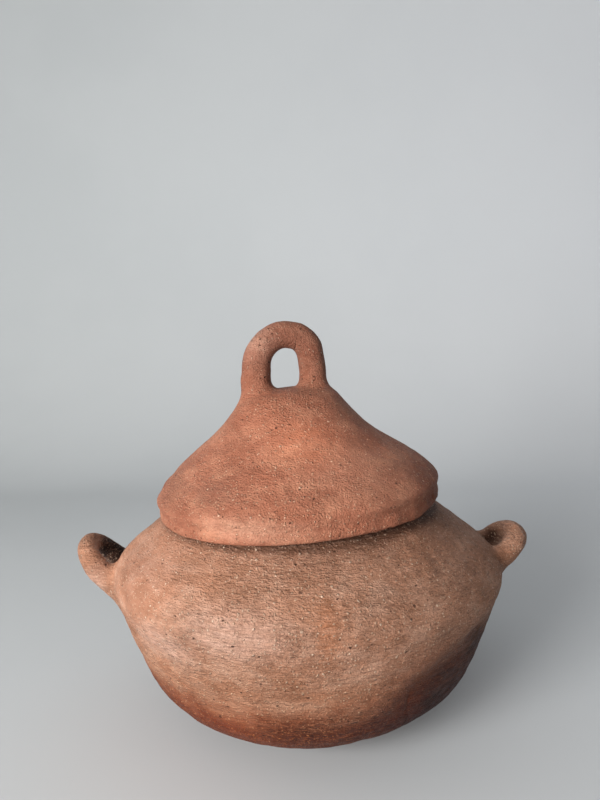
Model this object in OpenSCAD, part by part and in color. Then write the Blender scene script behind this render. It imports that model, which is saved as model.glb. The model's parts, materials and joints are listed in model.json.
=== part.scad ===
// Hand-built earthenware cooking pot with two lug handles, and its conical lid with a loop handle.
// Millimetres, +Z up, +X towards the right lug. The origin is the centre of the flat that the pot stands on.

/* [Pot] */
// Diameter of the flat that the pot stands on
base_d = 80; // [72:2:90]
// Widest diameter of the belly
belly_d = 240; // [234:1:243]
// Height of the widest point of the belly
belly_h = 91; // [88:0.5:91.5]
// Thickness of the wall
wall_t = 8; // [6:0.5:9]
// Thickness of the base slab
base_t = 9; // [7:0.5:11]

/* [Mouth] */
// Inside diameter of the mouth
mouth_d = 114; // [108:1:116]
// Thickness of the collar around the mouth
collar_t = 9; // [7:0.5:9.5]
// Height of the collar's top above the plane of the lid's edge
collar_rise = 23.5; // [20:0.5:23.5]

/* [Lid] */
// Widest diameter of the lid, at its edge
lid_d = 174; // [173:0.5:175]
// Height of the lid without its handle
lid_h = 72; // [71:0.5:76]
// Thickness of the lid's wall
lid_t = 8; // [7:0.5:8]
// Height of the lid's edge above the table, at the middle
lid_z = 132.5; // [132.5:0.5:136]
// Slope of the mouth and the lid, with the right side up
lid_tilt = 4.3; // [0:0.1:4.4]
// Slope of the mouth and the lid, with the back up
lid_nod = 2; // [0:0.1:2.2]
// How far the mouth and the lid sit to the left of the pot's middle
lid_left = 3.5; // [3:0.5:4]
// How far the mouth and the lid sit to the front of the pot's middle
lid_front = 3; // [1:0.5:4]

/* [Handles] */
// Thickness of the lugs' clay roll
lug_t = 13; // [11:0.5:15]
// Distance between the middles of a lug's two legs
lug_span = 38; // [34:1:40]
// Distance from the pot's middle to the middle of the roll at the left lug's tip
left_lug_out = 139.5; // [138:0.5:142]
// Height of the middle of the roll at the left lug's tip
left_lug_z = 105; // [102:1:107]
// Slope of the left lug above the horizontal
left_lug_rise = 44; // [40:1:46]
// Distance from the pot's middle to the middle of the roll at the right lug's tip
right_lug_out = 133.5; // [132:0.5:137]
// Height of the middle of the roll at the right lug's tip
right_lug_z = 107.5; // [105:0.5:109]
// Slope of the right lug above the horizontal
right_lug_rise = 38; // [35:1:42]
// Thickness of the lid handle's clay roll
loop_t = 18.5; // [16:0.5:20]
// Distance between the middles of the lid handle's two legs
loop_span = 36; // [34:1:40]
// Height of the lid handle's top above the lid's edge
loop_top = 115; // [112:0.5:118]
// How far the lid handle sits to the left of the lid's middle
loop_left = 2; // [0:0.5:4]
// Turn of the lid handle about the lid's axis
loop_turn = 10; // [0:1:30]

/* [Hidden] */
$fn = 96;

pot_clay = [0.66, 0.48, 0.37];
lid_clay = [0.70, 0.42, 0.30];

base_r = base_d / 2;
belly_r = belly_d / 2;
mouth_r = mouth_d / 2;
lid_r = lid_d / 2;
crown_r = 48;              // radius at which the shoulder's curve ends, inside the mouth
crown_h = 59.5;            // height of that end above the belly
lip_h = 15;                // height of the lid's thickened lip
lug_length = 75;           // length of a lug from its tip to where its legs start, inside the wall
lug_flare = 1.8;           // thickness of a lug's leg at its start, as a share of the roll
loop_flare = 1.2;          // the same for the lid handle's legs
big = 400;                 // larger than the whole pot
curve_steps = 4;           // points on a curve from one knot to the next

// The side of the pot as shares: out from the base's edge to the belly, and up from the table to the belly.
side_curve = [[0, 0], [0.23, 0.055], [0.48, 0.155], [0.685, 0.31], [0.81, 0.505],
              [0.905, 0.72], [0.975, 0.895]];
// The shoulder as shares: in from the belly to the crown, and up from the belly to the crown.
shoulder_curve = [[0, 0], [0.03, 0.145], [0.13, 0.285], [0.27, 0.42], [0.425, 0.565],
                  [0.66, 0.77], [1, 1]];
// The lid's outside as shares of its radius and of its height, from the slope under its edge to its top.
lid_curve = [[0.90, 0.10], [0.945, 0.035], [0.975, 0.005], [0.995, 0.035], [1, 0.11],
             [0.965, 0.24], [0.83, 0.39], [0.65, 0.56], [0.505, 0.72], [0.40, 0.87],
             [0.325, 0.95], [0.20, 0.99], [0, 1]];

// One point of the smooth curve from knot b to knot c, with a and d the knots on either side.
function curve_point(a, b, c, d, s) =
    b + s / 2 * ((c - a) + s * ((2 * a - 5 * b + 4 * c - d) + s * (3 * (b - c) + d - a)));

// A smooth curve through all the knots.
function curve(knots) = let (last = len(knots) - 1) [
    for (i = [0 : last - 1], k = [0 : curve_steps - 1])
        curve_point(knots[max(i - 1, 0)], knots[i], knots[i + 1], knots[min(i + 2, last)], k / curve_steps),
    knots[last]
];

// The direction at right angles to the curve at point i, towards the hollow.
function inward(points, i) =
    let (along = points[min(i + 1, len(points) - 1)] - points[max(i - 1, 0)])
    [-along.y, along.x] / norm(along);

// The curve moved by a thickness towards the hollow, and run backwards, with no point past the axis.
function inner_side(points, thickness) = [
    for (i = [len(points) - 1 : -1 : 0])
        let (p = points[i] + thickness * inward(points, i)) [max(p.x, 0), p.y]
];

pot_side = curve(concat(
    [for (p = side_curve) [base_r + p.x * (belly_r - base_r), p.y * belly_h]],
    [for (p = shoulder_curve) [belly_r - p.x * (belly_r - crown_r), belly_h + p.y * crown_h]]));

lid_edge_knots = 4;  // knots around the lid's edge before its widest point, where the wall's inside starts
lid_side = curve([for (p = lid_curve) [p.x * lid_r, p.y * lid_h]]);
lid_wall_side = [for (i = [lid_edge_knots * curve_steps : len(lid_side) - 1]) lid_side[i]];

// The whole body of the pot as if it were solid clay.
module pot_body_filled() {
    rotate_extrude()
        polygon(concat([[0, 0]], pot_side, [[0, pot_side[len(pot_side) - 1].y]]));
}

// The whole body of the lid as if it were solid clay.
module lid_body_filled() {
    rotate_extrude()
        polygon(concat([[0, lid_side[0].y]], lid_side));
}

// The lid's wall and lip in one.
module lid_shell() {
    rotate_extrude()
        polygon(concat(lid_side, inner_side(lid_wall_side, lid_t)));
}

// Places its children in the sloping frame of the mouth and the lid, from the middle of the lid's edge.
module at_lid() {
    translate([-lid_left, -lid_front, lid_z])
        rotate([lid_nod, -lid_tilt, 0])
            children();
}

// A block that holds everything below a height.
module below(height) {
    translate([-big / 2, -big / 2, height - big])
        cube(big);
}

// An arch of clay roll in the XZ plane: two flared legs that start at z = 0, and a half ring up to reach.
module arch(span, thickness, reach, flare) {
    spring = reach - span / 2 - thickness / 2;
    for (side = [-1, 1])
        translate([side * span / 2, 0, 0])
            cylinder(h = spring, d1 = thickness * flare, d2 = thickness);
    translate([0, 0, spring])
        rotate([90, 0, 0])
            rotate_extrude(angle = 180)
                translate([span / 2, 0])
                    circle(d = thickness);
}

// A lug handle on the right side of the pot. out and height are where the middle of its tip is.
module lug(out, height, rise) {
    difference() {
        translate([out, 0, height])
            rotate([0, 90 - rise, 0])
                translate([0, 0, lug_t / 2 - lug_length])
                    rotate([0, 0, 90])
                        arch(lug_span, lug_t, lug_length, lug_flare);
        pot_body_filled();
    }
}

// The flat slab that the pot was started from.
module pot_base() {
    color(pot_clay)
        intersection() {
            pot_body_filled();
            below(base_t);
        }
}

// The coil-built wall, from the base to the mouth.
module pot_wall() {
    color(pot_clay)
        difference() {
            rotate_extrude()
                polygon(concat(pot_side, inner_side(pot_side, wall_t)));
            below(base_t);
            at_lid()
                cylinder(h = big, r = mouth_r, center = true);
        }
}

// The upright coil around the mouth, which carries the lid.
module mouth_collar() {
    straight = collar_rise - collar_t / 2;
    color(pot_clay)
        difference() {
            at_lid()
                rotate_extrude()
                    translate([mouth_r, -collar_t]) {
                        square([collar_t, collar_t + straight]);
                        translate([collar_t / 2, collar_t + straight])
                            circle(d = collar_t);
                    }
            pot_body_filled();
        }
}

module left_lug() {
    color(pot_clay)
        mirror([1, 0, 0])
            lug(left_lug_out, left_lug_z, left_lug_rise);
}

module right_lug() {
    color(pot_clay)
        lug(right_lug_out, right_lug_z, right_lug_rise);
}

// The thick rounded coil that ends the lid.
module lid_lip() {
    color(lid_clay)
        at_lid()
            intersection() {
                lid_shell();
                below(lip_h);
            }
}

// The conical wall of the lid, closed at the top.
module lid_cone() {
    color(lid_clay)
        at_lid()
            difference() {
                lid_shell();
                below(lip_h);
            }
}

// The loop on top of the lid. Its legs start inside the lid and are cut off at its surface.
module lid_handle() {
    leg_start = lid_h - loop_t;
    color(lid_clay)
        at_lid()
            difference() {
                translate([-loop_left, 0, leg_start])
                    rotate([0, 0, loop_turn])
                        arch(loop_span, loop_t, loop_top - leg_start, loop_flare);
                lid_body_filled();
            }
}

pot_base();
pot_wall();
mouth_collar();
left_lug();
right_lug();
lid_lip();
lid_cone();
lid_handle();
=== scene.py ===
import json
import math

import bpy
import numpy as np
from mathutils import Matrix, Vector


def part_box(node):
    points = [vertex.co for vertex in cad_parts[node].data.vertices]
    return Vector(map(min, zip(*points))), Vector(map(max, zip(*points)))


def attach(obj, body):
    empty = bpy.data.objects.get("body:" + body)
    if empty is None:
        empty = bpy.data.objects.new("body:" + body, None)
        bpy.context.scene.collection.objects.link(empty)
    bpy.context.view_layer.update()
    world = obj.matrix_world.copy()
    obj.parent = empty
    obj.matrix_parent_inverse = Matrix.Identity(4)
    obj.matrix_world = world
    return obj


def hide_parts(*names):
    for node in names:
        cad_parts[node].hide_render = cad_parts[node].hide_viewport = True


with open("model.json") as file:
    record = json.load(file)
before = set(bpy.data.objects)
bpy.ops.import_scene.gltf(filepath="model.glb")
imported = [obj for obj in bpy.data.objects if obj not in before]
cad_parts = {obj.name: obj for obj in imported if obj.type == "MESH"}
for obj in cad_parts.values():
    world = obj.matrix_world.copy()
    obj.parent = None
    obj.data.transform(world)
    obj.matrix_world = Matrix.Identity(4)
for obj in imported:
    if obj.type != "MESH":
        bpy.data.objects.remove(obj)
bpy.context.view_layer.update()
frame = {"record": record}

MM = 0.001


# ------------------------------------------------------------------ camera

CAM_AT = (-0.00207, -0.4049, 0.2290)   # metres
CAM_PITCH = math.radians(4.67)         # down from the horizontal
CAM_ROLL = math.radians(-1.01)
CAM_LENS, CAM_SENSOR = 28.8, 36.0      # mm


def make_camera():
    """The camera in front of the pot, level with the lid's loop and looking a little down."""
    cam = bpy.data.objects.new("camera", bpy.data.cameras.new("camera"))
    bpy.context.scene.collection.objects.link(cam)
    bpy.context.scene.camera = cam
    cam.data.sensor_width = CAM_SENSOR
    cam.data.lens = CAM_LENS
    cam.data.clip_start = 0.01
    fwd = Vector((0, math.cos(CAM_PITCH), -math.sin(CAM_PITCH)))
    up = Vector((0, math.sin(CAM_PITCH), math.cos(CAM_PITCH)))
    side = Vector((1, 0, 0))
    right = side * math.cos(CAM_ROLL) + up * math.sin(CAM_ROLL)
    up = up * math.cos(CAM_ROLL) - side * math.sin(CAM_ROLL)
    turn = Matrix((right, up, -fwd)).transposed()
    cam.matrix_world = Matrix.Translation(CAM_AT) @ turn.to_4x4()


# ------------------------------------------------------------------ places from the frame, in mm

def corners(node):
    """The lowest and highest corners of a CAD node."""
    return np.array([list(corner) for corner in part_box(node)]) / MM


base_box, wall_box = corners("pot_base"), corners("pot_wall")
left_box, right_box = corners("left_lug"), corners("right_lug")
lift_axis = next(j["axis"] for j in frame["record"]["behaviour"]["joints"] if j["name"] == "lid_lift")

BELLY_R = (wall_box[1][0] - wall_box[0][0]) / 2
BASE_T = base_box[1][2]
LID_NOD = math.asin(-lift_axis[1])
LID_TILT = math.atan2(-lift_axis[0], lift_axis[2])


# ------------------------------------------------------------------ sizes as the CAD model has them, in mm

BASE_R, BELLY_H, WALL_T = 40.0, 91.0, 8.0
CROWN_R, CROWN_H = 48.0, 59.5
MOUTH_R, COLLAR_T, COLLAR_RISE = 57.0, 9.0, 23.5
LID_R, LID_H, LID_T = 87.0, 72.0, 8.0
LID_AT = np.array([-3.5, -3.0, 132.5])
LUG_SPAN, LUG_T = 38.0, 13.0
LEFT_RISE, RIGHT_RISE = math.radians(44), math.radians(38)
LOOP_SPAN, LOOP_T, LOOP_TOP = 36.0, 18.5, 115.0
LOOP_LEFT, LOOP_TURN = 2.0, math.radians(10)

SIDE = [(0, 0), (0.23, 0.055), (0.48, 0.155), (0.685, 0.31), (0.81, 0.505), (0.905, 0.72), (0.975, 0.895)]
SHOULDER = [(0, 0), (0.03, 0.145), (0.13, 0.285), (0.27, 0.42), (0.425, 0.565), (0.66, 0.77), (1, 1)]
LID = [(0.90, 0.10), (0.945, 0.035), (0.975, 0.005), (0.995, 0.035), (1, 0.11), (0.965, 0.24), (0.83, 0.39),
       (0.65, 0.56), (0.505, 0.72), (0.40, 0.87), (0.325, 0.95), (0.20, 0.99), (0, 1)]
LID_EDGE_KNOTS = 4
CURVE_STEPS = 8


def lid_axes():
    """Columns are the lid's axes in the part's frame: a turn about X by the nod, then about Y by the tilt."""
    cn, sn, ct, st = math.cos(LID_NOD), math.sin(LID_NOD), math.cos(-LID_TILT), math.sin(-LID_TILT)
    nod = np.array([[1, 0, 0], [0, cn, -sn], [0, sn, cn]])
    tilt = np.array([[ct, 0, st], [0, 1, 0], [-st, 0, ct]])
    return tilt @ nod


LID_M = lid_axes()


def to_lid(p):
    return (p - LID_AT) @ LID_M


def from_lid(q):
    return q @ LID_M.T + LID_AT


# ------------------------------------------------------------------ small numeric tools

def catmull(knots, steps):
    """Points on a smooth curve through all the knots, with a number of steps from one knot to the next."""
    k = np.array(knots, float)
    pts = []
    for i in range(len(k) - 1):
        a, b, c, d = k[max(i - 1, 0)], k[i], k[i + 1], k[min(i + 2, len(k) - 1)]
        for s in np.arange(steps) / steps:
            pts.append(b + s / 2 * ((c - a) + s * ((2 * a - 5 * b + 4 * c - d) + s * (3 * (b - c) + d - a))))
    pts.append(k[-1])
    return np.array(pts)


def resample(line, count):
    """The same line with a number of points spaced evenly along it."""
    seg = np.r_[0, np.cumsum(np.linalg.norm(np.diff(line, axis=0), axis=1))]
    t = np.linspace(0, seg[-1], count)
    return np.stack([np.interp(t, seg, line[:, i]) for i in range(line.shape[1])], 1)


def smoothstep(x, low, high):
    t = np.clip((x - low) / (high - low), 0, 1)
    return t * t * (3 - 2 * t)


def bump(x, middle, width):
    """1 at the middle, and fading to 0 on both sides."""
    return np.exp(-((x - middle) / width) ** 2)


def hashed(ix, iy, iz, seed):
    """A fixed number from -1 to 1 for each place of an integer grid."""
    h = (ix * 374761393 + iy * 668265263 + iz * 2147483647 + seed * 1274126177) & 0xFFFFFFFF
    h = ((h ^ (h >> 13)) * 1274126177) & 0xFFFFFFFF
    h = ((h ^ (h >> 16)) * 2246822519) & 0xFFFFFFFF
    return ((h ^ (h >> 15)) & 0xFFFFFF) / float(0xFFFFFF) * 2 - 1


def noise(p, size, seed):
    """Smooth value noise from -1 to 1. size is the distance between its bumps, one or one for each axis."""
    q = p / np.asarray(size, float)
    i = np.floor(q).astype(np.int64)
    f = q - i
    f = f * f * f * (f * (f * 6 - 15) + 10)
    out = np.zeros(len(p))
    for dx in (0, 1):
        for dy in (0, 1):
            for dz in (0, 1):
                wx, wy, wz = (f[:, k] if d else 1 - f[:, k] for k, d in enumerate((dx, dy, dz)))
                out += wx * wy * wz * hashed(i[:, 0] + dx, i[:, 1] + dy, i[:, 2] + dz, seed)
    return out


def smin(a, b, k):
    """The lower of two distances, with a fillet of about k where they meet."""
    h = np.clip(0.5 + 0.5 * (b - a) / k, 0, 1)
    return b * (1 - h) + a * h - k * h * (1 - h)


class Outline:
    """Signed distance to a closed outline in the half plane (r, z), looked up on a grid. Negative inside."""

    STEP = 0.5

    def __init__(self, line, low, high):
        self.low = np.array(low, float)
        self.shape = tuple(int(n) + 1 for n in (np.array(high) - self.low) / self.STEP)
        ticks = [self.low[i] + np.arange(self.shape[i]) * self.STEP for i in (0, 1)]
        r, z = np.meshgrid(*ticks, indexing="ij")
        p = np.stack([r.ravel(), z.ravel()], 1)
        best = np.full(len(p), 1e9)
        inside = np.zeros(len(p), bool)
        for a, b in zip(line, np.roll(line, -1, axis=0)):
            d = b - a
            t = np.clip(((p - a) @ d) / max(d @ d, 1e-12), 0, 1)
            if a[0] > 1e-6 or b[0] > 1e-6:
                best = np.minimum(best, np.hypot(*(p - a - t[:, None] * d).T))
            cross = (a[1] > p[:, 1]) != (b[1] > p[:, 1])
            with np.errstate(divide="ignore", invalid="ignore"):
                inside ^= cross & (np.abs(p[:, 0]) < d[0] * (p[:, 1] - a[1]) / d[1] + a[0])
        self.grid = np.where(inside, -best, best).reshape(self.shape)

    def __call__(self, r, z):
        q = (np.stack([r, z], 1) - self.low) / self.STEP
        q = np.clip(q, 0, np.array(self.shape) - 1.001)
        i, j = q.astype(int).T
        u, v = q[:, 0] - i, q[:, 1] - j
        g = self.grid
        return (g[i, j] * (1 - u) * (1 - v) + g[i + 1, j] * u * (1 - v)
                + g[i, j + 1] * (1 - u) * v + g[i + 1, j + 1] * u * v)


def gradient(field, p, reach=0.35):
    """The direction in which a field grows fastest, at each point."""
    g = np.stack([field(p + reach * d) - field(p - reach * d) for d in np.eye(3)], 1) / (2 * reach)
    return g / np.maximum(np.linalg.norm(g, axis=1, keepdims=True), 1e-6)


def settle(field, p, rounds=5):
    """Moves points on to the surface where the field is zero."""
    for _ in range(rounds):
        p = p - field(p)[:, None] * gradient(field, p)
    return p


# ------------------------------------------------------------------ the clay forms as fields

pot_line = np.array([(BASE_R + x * (BELLY_R - BASE_R), y * BELLY_H) for x, y in SIDE]
                    + [(BELLY_R - x * (BELLY_R - CROWN_R), BELLY_H + y * CROWN_H) for x, y in SHOULDER])
pot_line = catmull(pot_line, CURVE_STEPS)
pot_outline = Outline(np.vstack([[(0, 0)], pot_line, [(0, pot_line[-1][1])]]), (0, -20), (170, 175))

lid_line = catmull([(x * LID_R, y * LID_H) for x, y in LID], CURVE_STEPS)
lid_outline = Outline(np.vstack([[(0, lid_line[0][1])], lid_line]), (0, -20), (130, 130))


def pot_warp(p):
    """How far the hand-built pot lies inside a true round one at each point, in mm."""
    x, y, z = p.T
    angle = np.arctan2(y, x)
    low = smoothstep(z, 4, 30) * (1 - smoothstep(z, 98, 120))
    lean = 0.25 * np.cos(angle) * smoothstep(z, 20, 70) * (1 - smoothstep(z, 75, 110))
    lobes = 0.60 * np.cos(2 * angle + 0.7) + 0.42 * np.cos(3 * angle - 1.1)
    flat_left = 1.5 * np.clip(-np.cos(angle), 0, 1) ** 3 * bump(z, 38, 16)
    flat_front = 3.0 * np.clip(np.cos(angle + 1.15), 0, 1) ** 3 * bump(z, 14, 11)
    return flat_left + flat_front * smoothstep(z, 1, 6) - low * (lean + lobes)


def pot_field(p):
    """Signed distance to the outside of the pot without its lugs, about."""
    r = np.hypot(p[:, 0], p[:, 1])
    return pot_outline(np.maximum(r + pot_warp(p), 0), p[:, 2])


def lid_warp(q):
    """The same for the lid, in its own frame."""
    x, y, z = q.T
    angle = np.arctan2(y, x)
    right = np.clip(np.cos(angle - 0.15), 0, 1) ** 2
    left = np.clip(-np.cos(angle + 0.2), 0, 1) ** 2
    hollow = 3.8 * right * bump(z, 41, 15)
    brim = -0.4 * right * bump(z, 14, 8)
    bulge = -2.3 * left * bump(z, 33, 14)
    neck = 1.1 * right * bump(z, 62, 9)
    return hollow + brim + bulge + neck


def lid_field_local(q):
    """The same for the outside of the lid without its loop, in the lid's frame."""
    r = np.hypot(q[:, 0], q[:, 1])
    return lid_outline(np.maximum(r + lid_warp(q), 0), q[:, 2])


def roll_field(p, path, radius):
    """Signed distance to a roll of clay along a path, with a radius given at each of its points."""
    best = np.full(len(p), 1e9)
    for i in range(len(path) - 1):
        a, d = path[i], path[i + 1] - path[i]
        t = np.clip(((p - a) @ d) / (d @ d), 0, 1)
        dist = np.linalg.norm(p - a - t[:, None] * d, axis=1) - (radius[i] + t * (radius[i + 1] - radius[i]))
        best = smin(best, dist, 0.6) if i else dist
    return best


def bend(points, count):
    """A smooth path of count points through the knots."""
    return resample(catmull(points, 12), count)


# ------------------------------------------------------------------ handles

LUG_LEG = 38       # how far a lug's legs run back from the middle of its bend
FREE_LEG = 10      # how much of that stays parallel
LEFT_TIP = np.array([left_box[0][0] + LUG_T / 2, 0, left_box[1][2] - LUG_T / 2])
RIGHT_TIP = np.array([right_box[1][0] - LUG_T / 2, 0, right_box[1][2] - LUG_T / 2])


def lug_path(tip, side, rise, sag, lift):
    """The middle line of a lug: up the front leg, round the tip and down the back leg, into the wall.
    The back leg sags below the lug's plane, and the front leg's root lies above it."""
    out = np.array([side * math.cos(rise), 0, math.sin(rise)])
    down = np.array([side * math.sin(rise), 0, -math.cos(rise)])
    half = LUG_SPAN / 2
    centre = tip - out * half
    turn = [centre + out * half * math.cos(a) + np.array([0, half * math.sin(a), 0])
            + down * sag * max(math.sin(a), 0) ** 2 for a in np.linspace(-math.pi / 2, math.pi / 2, 9)]
    front = [centre - out * d + np.array([0, -half - 0.10 * max(d - FREE_LEG, 0), 0])
             - down * lift * d / LUG_LEG for d in (LUG_LEG, 24, 12)]
    back = [centre - out * d + np.array([0, half + 0.06 * max(d - FREE_LEG, 0), 0]) + down * sag
            for d in (12, 24, LUG_LEG)]
    return np.array(front + turn + back)


def loop_path():
    """The middle line of the lid's loop, in the lid's frame."""
    half = LOOP_SPAN / 2
    top = LOOP_TOP - LOOP_T / 2 - half
    cx, sx = math.cos(LOOP_TURN), math.sin(LOOP_TURN)
    pts = [(-half - 0.1, 0, 56), (-half + 0.2, 0, 66), (-half - 0.1, 0, 76), (-half + 0.5, 0, top - 4)]
    pts += [(-(half - 0.7) * math.cos(a) + 1.6 * math.sin(a), 0, top - 1.5 + (half + 0.8) * math.sin(a))
            for a in np.linspace(0.25, 1.9, 6)]
    pts += [(half * 0.66, 0, top + half * 0.80), (half * 0.93, 0, top + half * 0.40), (half, 0, top - 5)]
    pts += [(half - 0.2, 0, 76), (half, 0, 66), (half + 0.6, 0, 56)]
    return np.array([(x * cx - LOOP_LEFT, x * sx, z) for x, _, z in pts])


PATH_POINTS = 46
left_path = bend(lug_path(LEFT_TIP, -1, LEFT_RISE, 2.0, 5.0), PATH_POINTS)
right_path = bend(lug_path(RIGHT_TIP, 1, RIGHT_RISE, 0.8, 0.0), PATH_POINTS)
loop_line = bend(loop_path(), PATH_POINTS)


def radii(tip, root_front, root_back, power, wave, phase):
    """The roll's radius along its path: thick at the roots, thin at the middle, and a little uneven."""
    t = np.linspace(-1, 1, PATH_POINTS)
    plain = tip + (np.where(t < 0, root_front, root_back) - tip) * np.abs(t) ** power
    return plain * (1 + wave * np.sin(np.linspace(phase, phase + 8, PATH_POINTS)))


left_radius = radii(6.4, 12.5, 9.2, 2.4, 0.04, 0.0)
right_radius = radii(6.5, 8.2, 7.2, 3.2, 0.05, 2.0)
loop_radius = radii(8.7, 8.9, 8.6, 3.2, 0.03, 1.0)

FILLET, LID_FILLET = 6.5, 7.0    # size of the smoothed joints where the handles are luted on
NEAR_HANDLE = 40.0               # past this far from a handle its field isn't worked out


def near(p, path, reach, field):
    """The field near a path, and a large number elsewhere, so that far points cost nothing."""
    low, high = path.min(0) - reach, path.max(0) + reach
    hit = ((p > low) & (p < high)).all(1)
    out = np.full(len(p), 99.0)
    if hit.any():
        out[hit] = field(p[hit])
    return out


def left_field(p):
    return near(p, left_path, NEAR_HANDLE, lambda q: roll_field(q, left_path, left_radius))


def right_field(p):
    return near(p, right_path, NEAR_HANDLE, lambda q: roll_field(q, right_path, right_radius))


def loop_field(q):
    return near(q, loop_line, NEAR_HANDLE, lambda s: roll_field(s, loop_line, loop_radius))


def pot_joined(p):
    d = pot_field(p)
    return smin(smin(d, left_field(p), FILLET), right_field(p), FILLET)


def lid_joined(q):
    return smin(lid_field_local(q), loop_field(q), LID_FILLET)


# ------------------------------------------------------------------ marks of the hand

def hand_marks(p):
    """Height in mm that the surface stands proud at each point: pats, thumb marks and coarse grit."""
    return (0.75 * noise(p, (46, 46, 34), 11) + 0.42 * noise(p, (19, 19, 13), 12)
            + 0.20 * noise(p, 7.0, 13) + 0.11 * noise(p, 3.4, 14))


CLOSE, FAR = 2.0, 7.0    # gaps between lid and pot at which no mark, and every mark, may stand proud


def kept_clear(height, gap):
    """Marks only sink into the clay where the lid and the pot lie close together, so that they stay apart."""
    free = smoothstep(gap, CLOSE, FAR)
    return free * height + (1 - free) * np.minimum(height, 0)


def pot_marks(p):
    """Height of all the marks on the pot."""
    x, y, z = p.T
    h = hand_marks(p)
    wiped = smoothstep(z, 12, 40) * (1 - smoothstep(z, 78, 108))
    h += wiped * (0.26 * noise(p, (34, 34, 3.2), 21) + 0.16 * noise(p, (18, 18, 1.9), 22))
    h *= smoothstep(z, 0.2, 5)
    # a shallow ridge with a step below it, on the front right
    ridge_z = 66 + 26 * (x - 45) / 60
    ridge_here = smoothstep(x, 35, 60) * (y < 0)
    h += 0.8 * bump(z, ridge_z, 5) * ridge_here
    h -= 0.8 * bump(z, ridge_z - 12, 8) * ridge_here
    # a hairline drying crack, on the front
    crack_x = 50.5 + 0.9 * np.sin(z / 4.0) + 0.5 * np.sin(z / 1.7)
    crack_here = smoothstep(z, 24, 32) * (1 - smoothstep(z, 52, 60)) * (y < 0)
    h -= 0.55 * bump(x, crack_x, 0.8) * crack_here
    return kept_clear(h, lid_field_local(to_lid(p)))


OTHER_PLACE = 300.0    # moves the lid to another place in the noise, away from the pot's marks


def lid_marks(q):
    """The same for the lid, in its own frame."""
    x, y, z = q.T
    r = np.hypot(x, y)
    h = hand_marks(q + OTHER_PLACE)
    h += 0.22 * noise(q, (26, 26, 4.0), 31) * (1 - smoothstep(z, 60, 74))
    rim = bump(z, 3, 6) * smoothstep(r, 70, 80)
    h += rim * (0.45 * noise(q, 5.0, 32) + 0.28 * noise(q, 2.6, 33))
    # the edge's upper corner, a groove below it, and a narrow bead along the lower corner
    edge = smoothstep(r, 72, 80)
    h += edge * (1.1 * bump(z, 12.5, 2.4) - 1.0 * bump(z, 7.0, 2.6) + 0.9 * bump(z, 1.5, 1.6))
    # a thumb dent low on the left, and a chip on the front
    dent = np.exp(-(((x + 66) / 9) ** 2 + ((z - 22) / 7) ** 2)) * (y < 0)
    chip = np.exp(-(((x + 2) / 3.2) ** 2 + ((z - 27) / 2.6) ** 2)) * (y < 0)
    return kept_clear(h - 1.3 * dent - 0.7 * chip, pot_field(from_lid(q)))


# ------------------------------------------------------------------ meshes

def make_piece(name, points, faces, body, replaced):
    """A mesh from points in mm, riding on a body in place of the CAD nodes that it replaces."""
    mesh = bpy.data.meshes.new(name)
    mesh.vertices.add(len(points))
    mesh.vertices.foreach_set("co", (np.asarray(points) * MM).astype(np.float32).ravel())
    faces = np.asarray(faces, np.int32)
    mesh.loops.add(faces.size)
    mesh.loops.foreach_set("vertex_index", faces.ravel())
    mesh.polygons.add(len(faces))
    mesh.polygons.foreach_set("loop_start", np.arange(0, faces.size, faces.shape[1], dtype=np.int32))
    mesh.update(calc_edges=True)
    mesh.polygons.foreach_set("use_smooth", np.ones(len(faces), bool))
    mesh.validate()
    piece = bpy.data.objects.new(name, mesh)
    bpy.context.scene.collection.objects.link(piece)
    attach(piece, body)
    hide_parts(*replaced)
    return piece


def ring_faces(rows, cols, wrap_rows=False):
    """Faces between rows of points that each close in a ring. wrap_rows joins the last row to the first."""
    i = np.arange(rows if wrap_rows else rows - 1)[:, None]
    j = np.arange(cols)[None, :]
    k = (i + 1) % rows
    a, b = i * cols + j, i * cols + (j + 1) % cols
    c, d = k * cols + (j + 1) % cols, k * cols + j
    return np.stack([a, b, c, d], -1).reshape(-1, 4)


def revolve(line, cols):
    """Points of a turned form, row by row along its line."""
    a = np.arange(cols) * 2 * math.pi / cols
    r, z = line[:, :1], line[:, 1:]
    return np.stack([r * np.cos(a), r * np.sin(a), z + 0 * a], -1).reshape(-1, 3)


def inner_line(line, thickness):
    """The line moved by a thickness towards the hollow, and run backwards, with no point past the axis."""
    d = np.gradient(line, axis=0)
    d /= np.linalg.norm(d, axis=1, keepdims=True)
    p = line + thickness * np.stack([-d[:, 1], d[:, 0]], 1)
    p[:, 0] = np.maximum(p[:, 0], 0)
    return p[::-1]


def proud(field, p, marks):
    """Moves settled points out by their marks."""
    return p + marks[:, None] * gradient(field, p)


AXIS_R = 0.01               # radius of the small hole that a turned form leaves at its axis
TUCK, TUCK_FADE = 0.9, 1.2  # how far a covered surface is pulled in, and the cover at which it is all in


def tucked(field, p, cover):
    """Pulls points in where the smoothed surface belongs more to another piece, so that the two surfaces
    don't lie together. cover is how much more, in mm."""
    return p - gradient(field, p) * (smoothstep(cover, 0.0, TUCK_FADE) * TUCK)[:, None]


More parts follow.
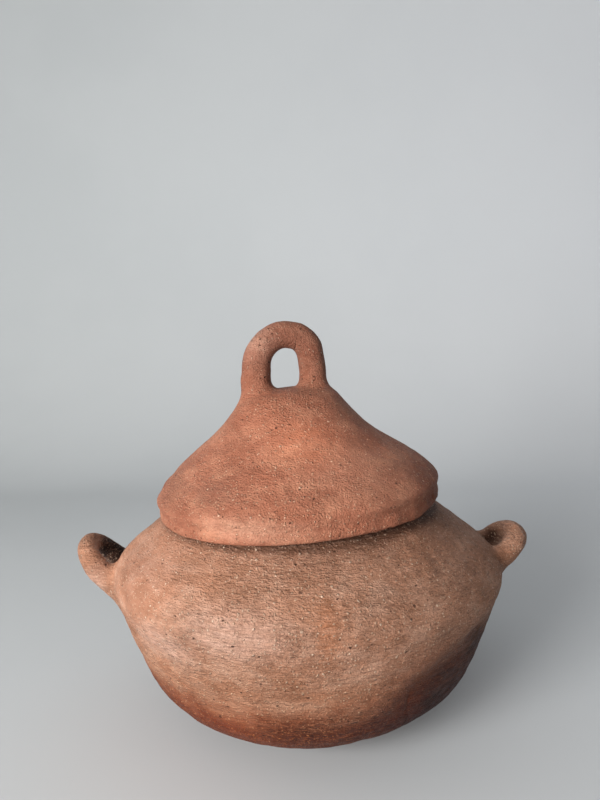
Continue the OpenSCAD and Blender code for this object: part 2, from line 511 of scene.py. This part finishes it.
def make_pot_body():
    """The base and the wall in one, outside and inside, with the lugs' joints smoothed into them."""
    cols, rows_out, rows_in, rows_edge = 460, 150, 44, 8
    above = pot_line[:, 1] > BELLY_H
    outer = pot_line[~above | (pot_line[:, 0] > MOUTH_R + 2)]
    outside = resample(outer, rows_out)
    inside = inner_line(outer, WALL_T)
    inside = inside[inside[:, 1] > BASE_T]
    inside = np.vstack([inside, [(inside[-1][0] - 6, BASE_T), (AXIS_R, BASE_T)]])
    top_out, top_in = outside[-1], inside[0]
    edge = np.array([top_out + (top_in - top_out) * t + np.array([-3.0 * math.sin(math.pi * t), 0])
                     for t in np.linspace(0, 1, rows_edge)[1:-1]])
    inside = resample(inside, rows_in)
    under = [(AXIS_R, 0)] + [(BASE_R * share, 0) for share in (0.25, 0.5, 0.75, 0.92)]
    line = np.vstack([under, outside, edge, inside])
    p = revolve(line, cols)
    first, last = len(under), len(under) + rows_out
    row = np.arange(len(line)).repeat(cols)
    seen = (row >= first) & (row < last)
    q = settle(pot_joined, p[seen])
    cover = pot_field(q) - np.minimum(left_field(q), right_field(q))
    q = proud(pot_joined, q, pot_marks(q))
    p[seen] = tucked(pot_joined, q, cover)
    # the mouth sits off the pot's axis, so the hidden top of the shoulder moves over with it
    r = np.hypot(p[:, 0], p[:, 1])
    shift = (1 - smoothstep(r, 60, 80)) * smoothstep(p[:, 2], 110, 125)
    p[:, :2] += shift[:, None] * LID_AT[:2]
    inner = row >= last
    p[inner] += 0.5 * noise(p[inner], 22.0, 41)[:, None] * np.array([1, 1, 0.0])
    return make_piece("pot_body", p, ring_faces(len(line), cols), "pot", ["pot_base", "pot_wall"])


def make_collar():
    """The coil around the mouth: an upright wall with a round top, and a fillet at its foot."""
    cols = 360
    t = COLLAR_T / 2
    top = COLLAR_RISE - t
    arc = [(MOUTH_R + t + t * math.cos(a), top + t * math.sin(a)) for a in np.linspace(0, math.pi, 18)]
    line = np.array([(MOUTH_R + COLLAR_T, -4.0)]
                    + [(MOUTH_R + COLLAR_T, z) for z in np.linspace(-2, top, 30)] + arc[1:]
                    + [(MOUTH_R, z) for z in np.linspace(top, -3, 34)][1:]
                    + [(MOUTH_R + 1.5, -5.0)])
    q = revolve(line, cols)
    # a clay fillet where the collar stands on the shoulder
    height = pot_field(from_lid(q))
    outward = q * np.array([1, 1, 0])
    r = np.linalg.norm(outward, axis=1, keepdims=True)
    flare = 3.6 * np.exp(-np.maximum(height, 0) / 2.6) * (r[:, 0] > MOUTH_R + t)
    q = q + outward / r * flare[:, None]
    p = from_lid(q)
    normal = (outward / r) * np.where(r > MOUTH_R + t, 1.0, -1.0)
    p = p + (normal @ LID_M.T) * (0.35 * noise(p, 14.0, 51) + 0.12 * noise(p, 5.0, 52))[:, None]
    faces = ring_faces(len(line), cols, wrap_rows=True)
    return make_piece("mouth_collar_clay", p, faces, "pot", ["mouth_collar"])


def tube(path, radius, rows, cols):
    """A roll along a path, closed at neither end: its ends are buried."""
    line = resample(path, rows)
    rad = np.interp(np.linspace(0, 1, rows), np.linspace(0, 1, len(radius)), radius)
    d = np.gradient(line, axis=0)
    d /= np.linalg.norm(d, axis=1, keepdims=True)
    plane = np.cross(line[rows // 2] - line[0], line[-1] - line[0])
    plane /= np.linalg.norm(plane)
    across = np.cross(d, plane)
    across /= np.linalg.norm(across, axis=1, keepdims=True)
    other = np.cross(d, across)
    a = np.arange(cols) * 2 * math.pi / cols
    p = (line[:, None, :] + rad[:, None, None] * (across[:, None, :] * np.cos(a)[None, :, None]
                                                   + other[:, None, :] * np.sin(a)[None, :, None]))
    return p.reshape(-1, 3)


BURIED = 1.5    # depth inside the pot or the lid past which a handle's faces are left out


def make_handle(name, path, radius, own, base, joined, marks, place, body, node):
    """A clay roll smoothed into the form that it is luted to. place takes its points to the part's frame."""
    rows, cols = 150, 84
    p = tube(path, radius, rows, cols)
    deep = base(p) < -BURIED
    q = settle(joined, p[~deep])
    cover = own(q) - base(q)
    q = proud(joined, q, marks(q))
    p[~deep] = tucked(joined, q, cover)
    faces = ring_faces(rows, cols)
    keep = ~deep[faces].all(1)
    faces = faces[keep]
    used = np.unique(faces)
    index = np.full(len(p), -1)
    index[used] = np.arange(len(used))
    return make_piece(name, place(p[used]), index[faces], body, [node])


def make_lid_shell():
    """The lip and the cone in one, outside and inside, with the loop's joints smoothed into them."""
    cols, rows_out, rows_in = 400, 118, 52
    edge_rows = 6    # rows at the slope under the edge over which the marks fade in
    outside = resample(lid_line, rows_out)
    wall = lid_line[LID_EDGE_KNOTS * CURVE_STEPS:]
    inside = resample(inner_line(wall, LID_T), rows_in)
    inside[0, 0] = AXIS_R
    outside[-1, 0] = AXIS_R
    line = np.vstack([outside, inside[1:]])
    p = revolve(line, cols)
    row = np.arange(len(line)).repeat(cols)
    seen = row < len(outside)
    q = settle(lid_joined, p[seen])
    cover = lid_field_local(q) - loop_field(q)
    q = proud(lid_joined, q, lid_marks(q) * smoothstep(row[seen], 1, edge_rows))
    p[seen] = tucked(lid_joined, q, cover)
    p[~seen] += (0.4 * noise(p[~seen], 20.0, 61))[:, None] * np.array([1, 1, 0.0])
    faces = ring_faces(len(line), cols, wrap_rows=True)
    at_axis = faces[:, 0] // cols == len(outside) - 1
    faces = faces[~at_axis]
    return make_piece("lid_shell", from_lid(p), faces, "lid", ["lid_lip", "lid_cone"])


# ------------------------------------------------------------------ materials

class Nodes:
    """Short calls for a node tree. A link is made for a socket, and a value is set for anything else."""

    def __init__(self, name):
        self.material = bpy.data.materials.new(name)
        self.material.use_nodes = True
        self.tree = self.material.node_tree
        self.tree.nodes.clear()

    def node(self, kind, inputs=None, **settings):
        made = self.tree.nodes.new(kind)
        for key, value in settings.items():
            setattr(made, key, value)
        for key, value in (inputs or {}).items():
            if isinstance(value, bpy.types.NodeSocket):
                self.tree.links.new(value, made.inputs[key])
            else:
                made.inputs[key].default_value = value
        return made

    def noise(self, at, scale, detail=3.0, rough=0.55, distort=0.0):
        inputs = {"Vector": at, "Scale": scale, "Detail": detail, "Roughness": rough, "Distortion": distort}
        return self.node("ShaderNodeTexNoise", inputs).outputs["Fac"]

    def scaled(self, at, scale, move=(0, 0, 0)):
        inputs = {"Vector": at, "Scale": scale, "Location": move}
        return self.node("ShaderNodeMapping", inputs).outputs["Vector"]

    def math(self, op, a, b):
        return self.node("ShaderNodeMath", {0: a, 1: b}, operation=op).outputs[0]

    def step(self, value, low, high, to_low=0.0, to_high=1.0):
        """A smooth change from to_low, where the value is at low, to to_high, where it is at high."""
        inputs = {"Value": value, "From Min": low, "From Max": high, "To Min": to_low, "To Max": to_high}
        return self.node("ShaderNodeMapRange", inputs, interpolation_type="SMOOTHSTEP").outputs["Result"]

    def mix(self, fac, a, b, blend="MIX"):
        made = self.node("ShaderNodeMix", data_type="RGBA", blend_type=blend)
        for key, value in ((0, fac), (6, a), (7, b)):
            if isinstance(value, bpy.types.NodeSocket):
                self.tree.links.new(value, made.inputs[key])
            else:
                made.inputs[key].default_value = value
        return made.outputs[2]

    def cells(self, at, scale, size, share):
        """Round grains: 1 at a grain's middle and 0 outside it. share is the part of the cells with one."""
        v = self.node("ShaderNodeTexVoronoi", {"Vector": at, "Scale": scale, "Randomness": 1.0})
        pick = self.node("ShaderNodeSeparateColor", {"Color": v.outputs["Color"]})
        there = self.step(pick.outputs[0], 1 - share - 0.02, 1 - share + 0.02)
        vary = self.add(0.55, pick.outputs[1], 0.6)
        reach = self.math("MULTIPLY", vary, size)
        inside = self.math("DIVIDE", v.outputs["Distance"], reach)
        return self.math("MULTIPLY", self.step(inside, 1.0, 0.55), there)

    def ball(self, at, centre, radius, softness=0.5):
        """1 near a place and 0 away from it. radius is in metres, along each axis."""
        move = tuple(-c / r for c, r in zip(centre, radius))
        q = self.scaled(at, tuple(1 / r for r in radius), move)
        far = self.node("ShaderNodeVectorMath", {0: q}, operation="LENGTH").outputs["Value"]
        return self.step(far, 1.0, 1.0 - softness)

    def turned(self, at, turn):
        return self.node("ShaderNodeMapping", {"Vector": at, "Rotation": turn}).outputs["Vector"]

    def line(self, value, low, high, amount):
        """amount where the value is at high, and nothing where it is at low."""
        return self.step(value, low, high, 0.0, amount)

    def add(self, value, more, weight):
        """value + more * weight."""
        made = self.node("ShaderNodeMath", {0: more, 1: weight, 2: value}, operation="MULTIPLY_ADD")
        return made.outputs[0]

    def shaken(self, at, scale, reach):
        """A place moved about by noise, by half the reach along each axis on average."""
        inputs = {"Vector": at, "Scale": scale, "Detail": 2.0}
        wobble = self.node("ShaderNodeTexNoise", inputs).outputs["Color"]
        move = self.node("ShaderNodeVectorMath", {0: wobble, 1: (reach, reach, reach)}, operation="MULTIPLY")
        return self.node("ShaderNodeVectorMath", {0: at, 1: move.outputs[0]}, operation="ADD").outputs[0]


def rgb(r, g, b):
    return (r, g, b, 1.0)


RELIEF_DEPTH = 0.0030    # metres that a relief of 1 stands proud
CLAY_SPECULAR = 0.22     # unglazed clay hardly mirrors at a low angle
RAGGED = 0.022           # metres by which the edges of bands of colour go up and down
TORN = 0.026             # the same for the edges of washes, in every direction


def clay(name, look):
    """Coarse sandy earthenware. Scales are bumps for each metre, and places are in the part's frame."""
    n = Nodes(name)
    at = n.node("ShaderNodeTexCoord").outputs["Object"]
    height = n.node("ShaderNodeSeparateXYZ", {"Vector": at}).outputs["Z"]
    loose = n.shaken(at, 900.0, 0.0011)
    torn = n.scaled(n.shaken(at, 34.0, TORN), (1, 1, 1), (-TORN / 2, -TORN / 2, -TORN / 2))

    # the patterns: slow ones first, then the marks of wiping, then grit
    wide = n.noise(at, 17.0, 2.5, 0.6, 0.4)
    patch = n.noise(n.scaled(at, (1, 1, 1.6), (3, 5, 1)), 48.0, 4.0, 0.6, 0.3)
    mottle = n.noise(at, 190.0, 4.0, 0.62)
    grain = n.noise(at, 950.0, 3.0, 0.65)
    streak = n.noise(n.scaled(at, (1, 1, 9)), 42.0, 5.0, 0.65, 0.25)
    wiped = n.noise(n.scaled(at, (1, 1, 5.5), (2, 1, 4)), 200.0, 4.0, 0.68, 0.5)
    slant = n.noise(n.scaled(n.turned(at, (0.0, -0.45, 0.0)), (1, 1, 5), (7, 3, 1)), 230.0, 3.0, 0.65, 0.4)
    sand = n.cells(loose, 620.0, 0.40, look["sand"])
    coarse = n.cells(n.scaled(loose, (1, 1, 1), (0.3, 0.1, 0.7)), 400.0, 0.27, look["coarse"])
    pits = n.cells(n.scaled(loose, (1, 1, 1.5), (0.9, 0.4, 0.2)), 400.0, 0.36, look["pits"])

    # how rough the clay is from place to place: the potter's hand left some places nearly smooth
    rough_zone = n.step(n.noise(n.scaled(at, (1, 1, 1.8), (4, 0, 2)), 30.0, 3.0, 0.6), 0.38, 0.62, 0.72, 1.0)
    for centre, radius, share in look["smooth"]:
        here = n.ball(at, centre, radius, 0.8)
        rough_zone = n.math("MULTIPLY", rough_zone, n.step(here, 0.0, 1.0, 1.0, share))

    # the clay's own colour, bands and blotches, some of them painted shade, painted shade under the lid, a
    # painted sheen on polished places
    ragged = n.add(n.math("SUBTRACT", height, RAGGED / 2), patch, RAGGED)
    colour = n.mix(n.step(wide, 0.36, 0.66), look["body"], look["body_b"])
    colour = n.mix(n.line(patch, 0.42, 0.70, 0.55), colour, look["pale"])
    colour = n.mix(n.line(patch, 0.50, 0.28, 0.32), colour, look["deep"])
    colour = n.mix(n.line(streak, 0.50, 0.68, look["streaks"]), colour, look["streak_colour"])
    for low, high, amount, tone in look["bands"]:
        uneven = n.step(wide, 0.25, 0.6, 0.7, 1.0)
        colour = n.mix(n.math("MULTIPLY", n.line(ragged, low, high, amount), uneven), colour, tone)
    for centre, radius, tone, amount, soft in look["stains_and_shade"]:
        uneven = n.step(streak, 0.36, 0.62, amount if amount == 1 else 0.35 * amount, amount)
        blot = n.math("MULTIPLY", n.ball(at, centre, radius, soft), uneven)
        colour = n.mix(blot, colour, tone)
    # painted shade: the clay inside the lid's rim, which the lid covers, is painted darker
    lid_place = {"Vector": at, "Location": tuple(LID_AT * MM), "Rotation": (LID_NOD, -LID_TILT, 0.0)}
    in_lid = n.node("ShaderNodeMapping", lid_place, vector_type="TEXTURE").outputs[0]
    flat = n.node("ShaderNodeVectorMath", {0: in_lid, 1: (1, 1, 0)}, operation="MULTIPLY").outputs[0]
    from_axis = n.node("ShaderNodeVectorMath", {0: flat}, operation="LENGTH").outputs["Value"]
    under = n.line(from_axis, LID_R * MM + 0.001, LID_R * MM - 0.004, look["painted_shade_under_lid"])
    colour = n.mix(under, colour, look["dark"])
    burnish_and_sheen = None
    for centre, radius in look["burnished_sheen_spots"]:
        spot = n.math("MULTIPLY", n.ball(at, centre, radius, 0.9), n.step(streak, 0.30, 0.60, 0.55, 1.0))
        burnish_and_sheen = spot if burnish_and_sheen is None else n.math("MAXIMUM", burnish_and_sheen, spot)
    # painted sheen: polished places are painted paler, as well as made less rough
    colour = n.mix(n.math("MULTIPLY", burnish_and_sheen, 0.72), colour, look["painted_sheen_colour"])

    # fine detail, and last the washes, several of them painted shade, which darken the grains too
    colour = n.mix(n.line(mottle, 0.58, 0.36, 0.30), colour, look["deep"])
    colour = n.mix(n.math("MULTIPLY", n.line(grain, 0.54, 0.70, 0.50), rough_zone), colour, look["pale"])
    for pattern, low, high, amount, tone in ((wiped, 0.46, 0.36, look["wiped_dark"], look["dark"]),
                                             (slant, 0.44, 0.34, look["slant"], look["dark"]),
                                             (wiped, 0.54, 0.66, look["wiped_pale"], look["pale"])):
        colour = n.mix(n.math("MULTIPLY", n.line(pattern, low, high, amount), rough_zone), colour, tone)
    colour = n.mix(n.math("MULTIPLY", sand, 0.62), colour, look["sand_colour"])
    colour = n.mix(n.math("MULTIPLY", coarse, 0.85), colour, look["grit_colour"])
    colour = n.mix(n.math("MULTIPLY", pits, 0.85), colour, look["pit_colour"])
    for low, high, tone in look["band_washes"]:
        colour = n.mix(n.line(ragged, low, high, 1.0), colour, tone, "MULTIPLY")
    for centre, radius, tone, soft in look["washes"]:
        colour = n.mix(n.ball(torn, centre, radius, soft), colour, tone, "MULTIPLY")

    rough = n.step(mottle, 0.3, 0.7, 0.50, 0.72)
    rough = n.math("SUBTRACT", rough, n.math("MULTIPLY", burnish_and_sheen, 0.30))

    relief = n.math("MULTIPLY", grain, 0.75)
    relief = n.add(relief, mottle, 0.55)
    relief = n.add(relief, wiped, look["wiped_relief"])
    relief = n.add(relief, slant, look["slant"])
    relief = n.add(relief, sand, 0.42)
    relief = n.add(relief, coarse, 0.55)
    relief = n.add(relief, pits, -0.80)
    relief = n.math("MULTIPLY", relief, rough_zone)
    raised = n.node("ShaderNodeBump", {"Height": relief, "Strength": 1.0, "Distance": RELIEF_DEPTH})
    shader = n.node("ShaderNodeBsdfPrincipled", {"Base Color": colour, "Roughness": rough,
                                                 "Normal": raised.outputs["Normal"],
                                                 "Specular IOR Level": CLAY_SPECULAR})
    n.node("ShaderNodeOutputMaterial", {"Surface": shader.outputs["BSDF"]})
    return n.material


# a band is (height where it starts, height where it is full, amount, colour)
# a stain, or a patch of painted shade, is (middle, reach, colour, amount, softness)
# a smooth place is (middle, reach, share of the relief left), and a share over 1 makes it rougher
# a wash is multiplied over everything: a band of it is (start, full, colour), and a place is
# (middle, reach, colour, softness)
POT_LOOK = {
    "body": rgb(0.420, 0.206, 0.128), "body_b": rgb(0.470, 0.226, 0.138), "pale": rgb(0.62, 0.372, 0.268),
    "deep": rgb(0.230, 0.098, 0.050), "dark": rgb(0.085, 0.033, 0.018),
    "streaks": 0.32, "streak_colour": rgb(0.290, 0.130, 0.068),
    # foot band: partly the clay's own red, partly painted shade and a painted reflection of a dark surface
    # below; neck band: painted shade under the lid
    "bands": [(0.060, 0.030, 0.90, rgb(0.150, 0.040, 0.016)), (0.112, 0.132, 0.60, rgb(0.250, 0.105, 0.058))],
    "painted_shade_under_lid": 0.80,
    # the first darkens the foot, partly its own red and partly painted shade and reflection; the second
    # darkens the belly a little towards the bottom
    "band_washes": [(0.062, 0.032, rgb(0.76, 0.40, 0.20)), (0.088, 0.058, rgb(0.94, 0.86, 0.78))],
    # low on the right: darker clay with painted shade over it
    "washes": [((0.077, -0.073, 0.044), (0.076, 0.08, 0.048), rgb(0.33, 0.17, 0.105), 0.62),
               ((-0.095, -0.060, 0.108), (0.060, 0.08, 0.034), rgb(0.76, 0.75, 0.77), 0.9),
               ((-0.080, -0.080, 0.040), (0.060, 0.08, 0.030), rgb(0.91, 0.90, 0.87), 0.9)],
    "stains_and_shade": [
        ((0.000, -0.100, 0.030), (0.034, 0.05, 0.016), rgb(0.085, 0.036, 0.020), 0.60, 0.7),
        ((0.062, -0.085, 0.052), (0.046, 0.05, 0.022), rgb(0.180, 0.068, 0.034), 0.60, 0.8),
        # low on the right: darker clay with painted shade over it; next, painted shade down the right side
        ((0.092, -0.060, 0.046), (0.056, 0.08, 0.042), rgb(0.090, 0.028, 0.012), 0.92, 0.55),
        ((0.122, -0.010, 0.070), (0.030, 0.08, 0.050), rgb(0.140, 0.056, 0.030), 0.75, 0.8),
        ((0.009, -0.105, 0.094), (0.008, 0.05, 0.022), rgb(0.460, 0.165, 0.070), 0.60, 0.8),
        ((-0.060, -0.080, 0.048), (0.050, 0.06, 0.012), rgb(0.240, 0.118, 0.066), 0.40, 0.8),
        # painted shade in the hollows of the two lugs
        ((-0.126, 0.010, 0.094), (0.019, 0.014, 0.019), rgb(0.022, 0.007, 0.004), 1.00, 0.45),
        ((0.121, 0.004, 0.103), (0.008, 0.014, 0.011), rgb(0.050, 0.017, 0.010), 1.00, 0.6),
    ],
    # polished places: less rough, and painted paler as a painted sheen
    "burnished_sheen_spots": [((-0.036, -0.110, 0.094), (0.046, 0.05, 0.018)),
                  ((-0.072, -0.085, 0.080), (0.030, 0.05, 0.015)),
                  ((-0.128, -0.018, 0.090), (0.010, 0.02, 0.014))],
    "painted_sheen_colour": rgb(0.680, 0.430, 0.340),
    "smooth": [((-0.095, -0.050, 0.105), (0.075, 0.09, 0.036), 0.26),
               ((-0.050, -0.090, 0.045), (0.060, 0.06, 0.020), 0.60),
               ((0.090, -0.060, 0.045), (0.050, 0.06, 0.035), 0.45),
               ((0.010, -0.100, 0.036), (0.06, 0.07, 0.024), 2.3)],
    "sand": 0.50, "coarse": 0.22, "pits": 0.045,
    "sand_colour": rgb(0.74, 0.50, 0.36), "grit_colour": rgb(0.84, 0.62, 0.47),
    "pit_colour": rgb(0.070, 0.027, 0.015),
    "wiped_relief": 1.30, "wiped_dark": 0.46, "wiped_pale": 0.45, "slant": 0.40,
}

LID_LOOK = {
    "body": rgb(0.345, 0.126, 0.074), "body_b": rgb(0.395, 0.152, 0.090), "pale": rgb(0.60, 0.285, 0.175),
    "deep": rgb(0.250, 0.076, 0.038), "dark": rgb(0.100, 0.030, 0.016),
    "streaks": 0.30, "streak_colour": rgb(0.300, 0.105, 0.060),
    # painted shade: this band and the band wash below paint the loop darker, most towards its top
    "bands": [(0.180, 0.230, 0.55, rgb(0.250, 0.092, 0.052))],
    "painted_shade_under_lid": 0.0,
    "band_washes": [(0.188, 0.226, rgb(0.77, 0.77, 0.81))],
    # painted shade on the lid's right side and low along its rim on the right
    "washes": [((0.085, -0.020, 0.150), (0.035, 0.08, 0.030), rgb(0.84, 0.78, 0.74), 0.9),
               ((0.072, -0.045, 0.138), (0.040, 0.05, 0.009), rgb(0.72, 0.62, 0.56), 0.7)],
    "stains_and_shade": [
        ((-0.052, -0.075, 0.152), (0.034, 0.05, 0.012), rgb(0.120, 0.050, 0.034), 0.60, 0.8),
        ((-0.080, -0.030, 0.150), (0.020, 0.04, 0.020), rgb(0.180, 0.075, 0.048), 0.50, 0.8),
        ((0.030, -0.070, 0.165), (0.050, 0.05, 0.025), rgb(0.430, 0.200, 0.130), 0.50, 0.8),
        ((0.000, -0.060, 0.178), (0.030, 0.04, 0.020), rgb(0.520, 0.175, 0.088), 0.55, 0.9),
        # painted shade on the lid's right side
        ((0.080, -0.020, 0.150), (0.030, 0.07, 0.030), rgb(0.230, 0.080, 0.046), 0.55, 0.9),
    ],
    # polished places on the front of the rim and the top of the loop: less rough, and painted paler as a
    # painted sheen
    "burnished_sheen_spots": [((-0.035, -0.090, 0.137), (0.050, 0.03, 0.010)),
                  ((-0.03, -0.02, 0.235), (0.02, 0.03, 0.02))],
    "painted_sheen_colour": rgb(0.640, 0.350, 0.240),
    "smooth": [((0.020, -0.060, 0.175), (0.060, 0.06, 0.030), 0.60)],
    "sand": 0.44, "coarse": 0.20, "pits": 0.05,
    "sand_colour": rgb(0.74, 0.42, 0.28), "grit_colour": rgb(0.82, 0.52, 0.37),
    "pit_colour": rgb(0.080, 0.028, 0.016),
    "wiped_relief": 0.35, "wiped_dark": 0.16, "wiped_pale": 0.15, "slant": 0.25,
}


# ------------------------------------------------------------------ stage and light

def make_stage():
    """A pale sweep: a floor that curves up into a wall behind the pot."""
    half, front, back, top, bend_r = 3.0, -2.5, 1.1, 3.0, 0.5
    prof = [(front, 0.0), (back - bend_r, 0.0)]
    prof += [(back - bend_r + bend_r * math.sin(a), bend_r - bend_r * math.cos(a))
             for a in np.linspace(0, math.pi / 2, 17)[1:]]
    prof += [(back, top)]
    verts = [(x, y, z) for y, z in prof for x in (-half, half)]
    faces = [(2 * i, 2 * i + 1, 2 * i + 3, 2 * i + 2) for i in range(len(prof) - 1)]
    mesh = bpy.data.meshes.new("sweep")
    mesh.from_pydata(verts, [], faces)
    for f in mesh.polygons:
        f.use_smooth = True
    sweep = bpy.data.objects.new("sweep", mesh)
    bpy.context.scene.collection.objects.link(sweep)
    n = Nodes("sweep_paint")
    at = n.node("ShaderNodeTexCoord").outputs["Object"]
    across = n.node("ShaderNodeSeparateXYZ", {"Vector": at}).outputs["X"]
    # painted light: the sweep is darker on the left and lighter on the right, as light would fall across the
    # wall
    tone = n.mix(n.step(across, -0.7, 1.0), rgb(0.47, 0.50, 0.52), rgb(0.66, 0.69, 0.73))
    tone = n.mix(n.step(n.noise(at, 3.0, 3.0), 0.35, 0.65, 0.0, 0.06), tone, rgb(0.80, 0.82, 0.84))
    shader = n.node("ShaderNodeBsdfPrincipled", {"Base Color": tone, "Roughness": 0.85})
    n.node("ShaderNodeOutputMaterial", {"Surface": shader.outputs["BSDF"]})
    mesh.materials.append(n.material)


def lamp(name, at, aim, size, power, colour):
    """A soft window of light that faces a point. Metres and watts."""
    light = bpy.data.lights.new(name, "AREA")
    light.shape = "RECTANGLE"
    light.size, light.size_y = size
    light.energy = power
    light.color = colour
    made = bpy.data.objects.new(name, light)
    bpy.context.scene.collection.objects.link(made)
    made.location = at
    made.rotation_euler = (Vector(aim) - Vector(at)).to_track_quat("-Z", "Y").to_euler()


def make_light():
    """A soft room: light from the upper left front, and little from the right and from below."""
    world = bpy.data.worlds.new("soft")
    bpy.context.scene.world = world
    world.use_nodes = True
    tree = world.node_tree
    tree.nodes.clear()
    way = tree.nodes.new("ShaderNodeTexCoord")
    dot = tree.nodes.new("ShaderNodeVectorMath")
    dot.operation = "DOT_PRODUCT"
    dot.inputs[1].default_value = (-0.74, -0.52, 0.42)
    ramp = tree.nodes.new("ShaderNodeMapRange")
    ramp.inputs["From Min"].default_value = -0.5
    ramp.inputs["To Min"].default_value = 0.09
    ramp.inputs["To Max"].default_value = 0.62
    sky = tree.nodes.new("ShaderNodeBackground")
    sky.inputs["Color"].default_value = (1.0, 0.98, 0.95, 1)
    end = tree.nodes.new("ShaderNodeOutputWorld")
    tree.links.new(way.outputs["Generated"], dot.inputs[0])
    tree.links.new(dot.outputs["Value"], ramp.inputs["Value"])
    tree.links.new(ramp.outputs["Result"], sky.inputs["Strength"])
    tree.links.new(sky.outputs["Background"], end.inputs["Surface"])
    lamp("window", (-0.88, -1.14, 0.42), (0, 0, 0.10), (0.6, 0.8), 39.0, (1.0, 0.97, 0.93))
    bpy.context.scene.view_settings.view_transform = "Standard"


def tint(piece, material):
    """Gives a piece its one material."""
    piece.data.materials.clear()
    piece.data.materials.append(material)


make_camera()
pot_clay, lid_clay = clay("pot_clay", POT_LOOK), clay("lid_clay", LID_LOOK)

pot_body = make_pot_body()
collar = make_collar()
left_lug = make_handle("left_lug_clay", left_path, left_radius, left_field, pot_field, pot_joined,
                       pot_marks, lambda p: p, "pot", "left_lug")
right_lug = make_handle("right_lug_clay", right_path, right_radius, right_field, pot_field, pot_joined,
                        pot_marks, lambda p: p, "pot", "right_lug")
lid_shell = make_lid_shell()
lid_loop = make_handle("lid_loop_clay", loop_line, loop_radius, loop_field, lid_field_local, lid_joined,
                       lid_marks, from_lid, "lid", "lid_handle")
for piece in (pot_body, collar, left_lug, right_lug):
    tint(piece, pot_clay)
for piece in (lid_shell, lid_loop):
    tint(piece, lid_clay)

make_stage()
make_light()
